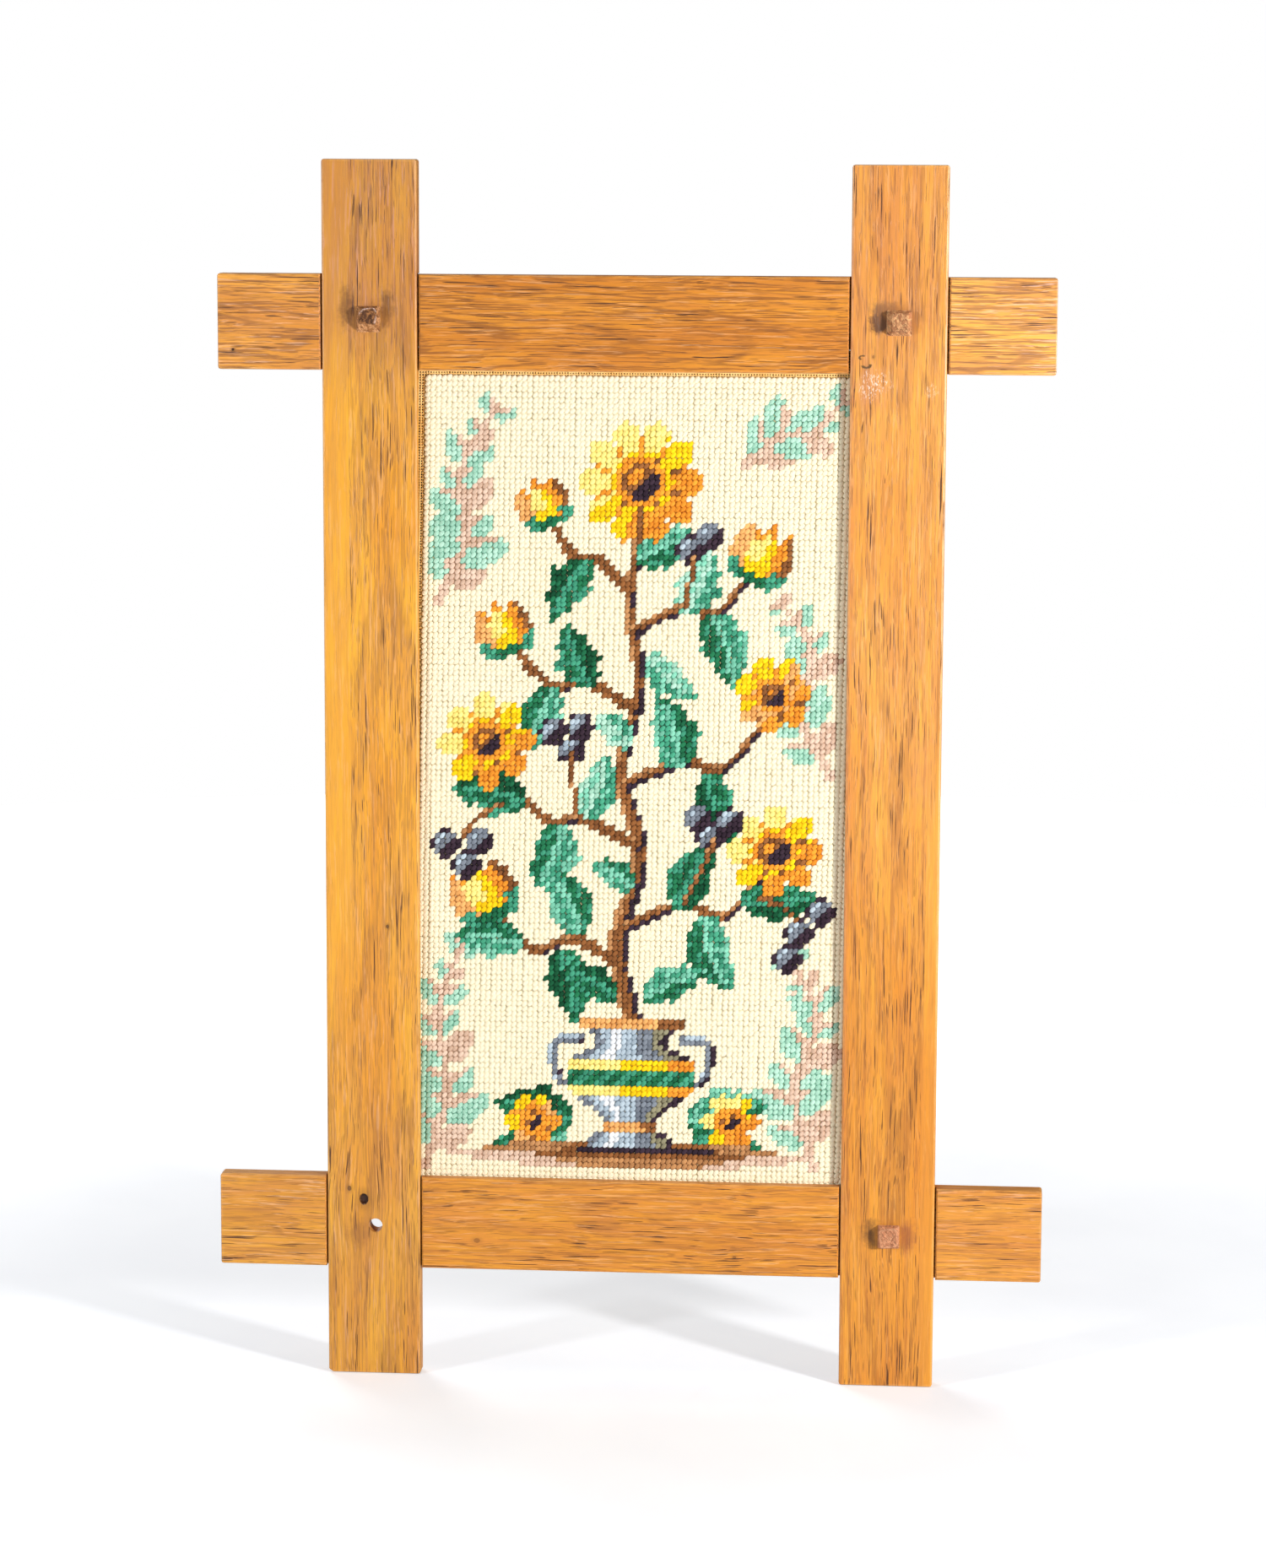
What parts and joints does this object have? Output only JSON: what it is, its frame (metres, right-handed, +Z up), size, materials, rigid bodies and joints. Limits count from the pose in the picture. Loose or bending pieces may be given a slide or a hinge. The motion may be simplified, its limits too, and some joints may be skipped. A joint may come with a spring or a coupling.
{
  "type": "framed embroidery in a cross-lapped wooden frame",
  "caption": "Upright panel of wool tent stitch on canvas, held in a pegged cross-lapped oak frame with projecting corners.",
  "frame": {"origin": "centre of the whole object's footprint, at the level of the two feet", "axes": "+Z up along the stiles, -Y out of the embroidered face, +X to the viewer's right"},
  "size_m": [0.3968, 0.0154, 0.5849],
  "materials": {
    "oak": "waxed honey oak with open pores and eased edges",
    "peg_wood": "knife-cut end grain, dry",
    "stitched_wool": "matt wool tent stitch on golden canvas"
  },
  "bodies": {
    "root": {"stile_left": "oak", "stile_right": "oak", "rail_top": "oak", "rail_bottom": "oak", "peg_top_left": "peg_wood", "peg_top_right": "peg_wood", "peg_bottom_right": "peg_wood", "embroidered_canvas": "stitched_wool"}
  },
  "joints": []
}
